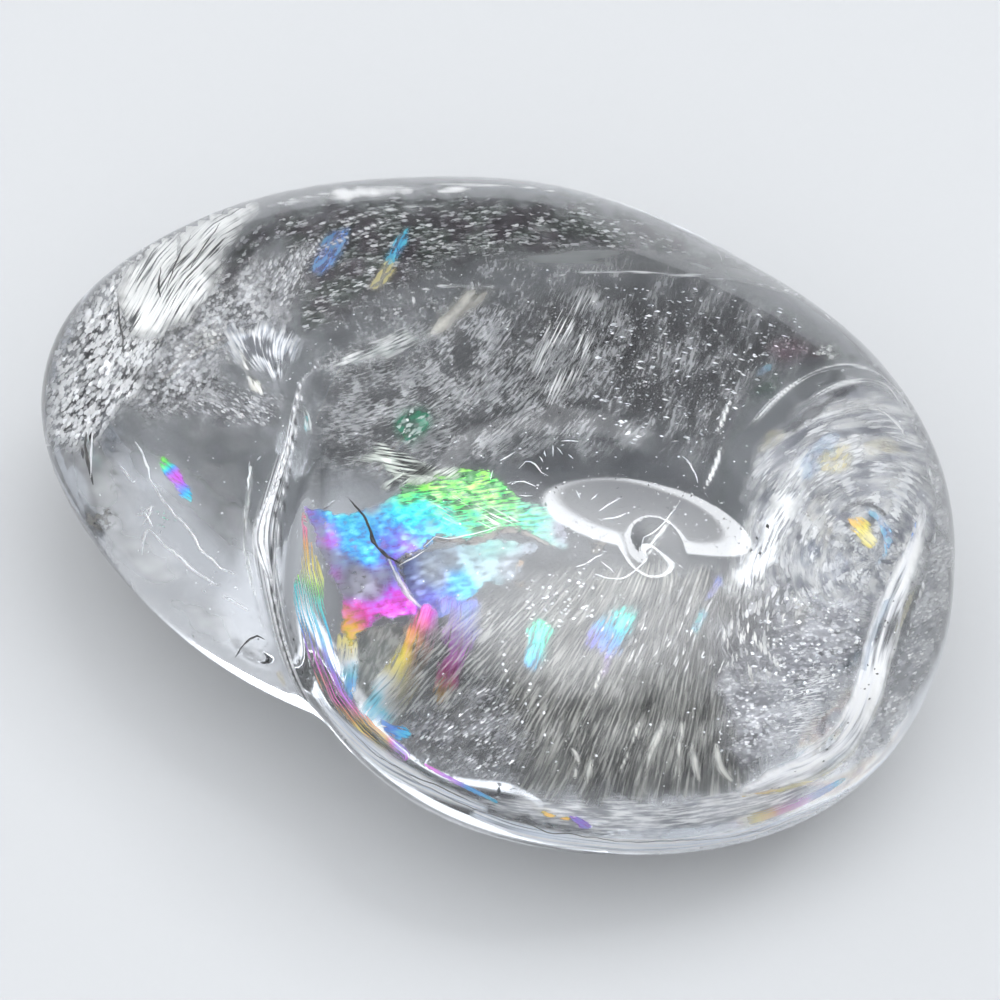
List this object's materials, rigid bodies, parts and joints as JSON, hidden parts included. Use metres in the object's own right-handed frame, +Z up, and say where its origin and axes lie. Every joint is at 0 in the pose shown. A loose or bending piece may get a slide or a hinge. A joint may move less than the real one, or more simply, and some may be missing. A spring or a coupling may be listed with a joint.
{
  "type": "tumbled clear quartz stone",
  "caption": "Polished pebble of clear rock crystal, a long oval body with a rounder shoulder grown into it and a crease between them, lying on a small flat facet.",
  "frame": {"origin": "on the surface that the stone rests on, below the middle of its bounding box", "axes": "+Z up, +X along the long axis towards the end with the rounder shoulder, -Y towards the shoulder's side"},
  "size_m": [0.0422, 0.0332, 0.0206],
  "materials": {
    "quartz": "tumble-polished clear quartz with milky veils, healed cracks and rainbow fracture films inside"
  },
  "bodies": {
    "root": {"clear_quartz": "quartz"}
  },
  "joints": []
}
